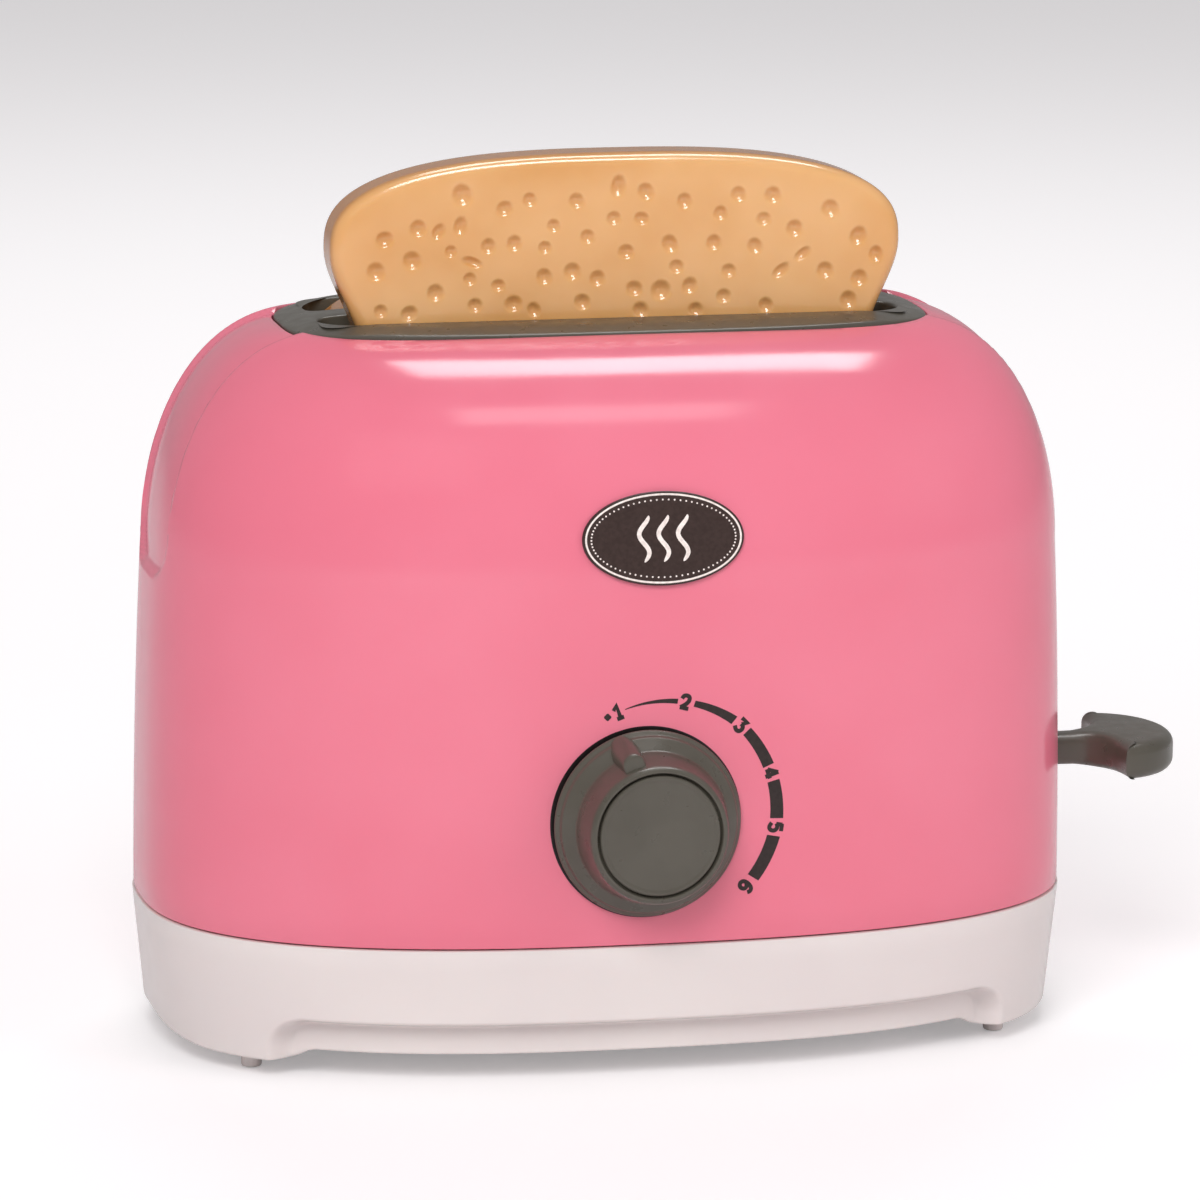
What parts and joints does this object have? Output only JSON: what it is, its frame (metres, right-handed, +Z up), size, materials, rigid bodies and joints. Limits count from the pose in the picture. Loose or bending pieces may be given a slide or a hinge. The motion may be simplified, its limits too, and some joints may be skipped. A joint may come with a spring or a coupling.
{
  "type": "toy toaster",
  "caption": "Toy pop-up toaster with a glossy pink shell, pale base, slices of moulded toast, an end lever and a clockwork dial on the front.",
  "frame": {"origin": "under the middle of the whole toaster's box, lever and dial included, on the plane that the feet stand on", "axes": "+X towards the lever's end, -Y towards the dial and the badge, +Z up"},
  "size_m": [0.1994, 0.1206, 0.166],
  "materials": {
    "shell": "glossy salmon pink ABS",
    "base": "glossy off-white ABS",
    "dark_grey": "semi-gloss warm dark grey ABS",
    "bread": "moulded toast-coloured plastic, satin to glossy",
    "badge": "dark brown oval plate",
    "acetal": "natural white acetal, plain moulded",
    "steel": "zinc-plated steel",
    "spring_steel": "spring steel",
    "foot": "off-white moulded pads"
  },
  "bodies": {
    "body": {"shell": "shell", "base": "base", "foot_1": "foot", "foot_2": "foot", "foot_3": "foot", "foot_4": "foot", "base_screw_1": "steel", "base_screw_2": "steel", "base_screw_3": "steel", "base_screw_4": "steel", "badge": "badge", "slot_insert": "dark_grey", "front_slot_liner": "dark_grey", "rear_slot_liner": "dark_grey", "guide_rod_1": "steel", "guide_rod_2": "steel", "return_spring_1": "spring_steel", "return_spring_2": "spring_steel", "detent_spring": "spring_steel", "mainspring": "spring_steel", "timer_front_plate": "steel", "timer_back_plate": "steel", "timer_pillar_1": "steel", "timer_pillar_2": "steel", "timer_pillar_3": "steel", "timer_pillar_4": "steel", "timer_screw_1": "steel", "timer_screw_2": "steel"},
    "carriage": {"bread_carriage": "acetal", "carriage_bush_1": "acetal", "carriage_bush_2": "acetal", "lever_knob": "dark_grey"},
    "front_slice": {"front_bread_slice": "bread"},
    "rear_slice": {"rear_bread_slice": "bread"},
    "dial": {"dial_knob": "dark_grey", "dial_cap": "dark_grey", "dial_shaft": "acetal", "drive_gear": "acetal", "kicker": "acetal"},
    "wheel": {"intermediate_gear": "acetal"},
    "governor": {"governor_pinion": "acetal", "governor_fan": "acetal"}
  },
  "joints": [
    {"name": "carriage_lift", "type": "slide", "parent": "body", "child": "carriage", "axis": [0, 0, 1], "range_m": [0, 0.025], "deforming": ["return_spring_1", "return_spring_2"]},
    {"name": "front_slice_lift", "type": "slide", "parent": "carriage", "child": "front_slice", "axis": [0, 0, 1], "range_m": [0, 0.07]},
    {"name": "rear_slice_lift", "type": "slide", "parent": "carriage", "child": "rear_slice", "axis": [0, 0, 1], "range_m": [0, 0.095]},
    {"name": "dial_turn", "type": "hinge", "parent": "body", "child": "dial", "pos_m": [-0.01517, -0.054, 0.0493], "axis": [0, 1, 0], "range_deg": [0, 145]},
    {"name": "wheel_spin", "type": "hinge", "parent": "body", "child": "wheel", "pos_m": [0.00625, -0.032, 0.0415], "axis": [0, 1, 0], "range_deg": [-545, 0]},
    {"name": "governor_spin", "type": "hinge", "parent": "body", "child": "governor", "pos_m": [0.02184, -0.032, 0.0325], "axis": [0, 1, 0], "range_deg": [0, 1500]}
  ],
  "couplings": [
    {"joint": "wheel_spin", "follows": "dial_turn", "ratio": -3.75},
    {"joint": "governor_spin", "follows": "dial_turn", "ratio": 10.312}
  ]
}
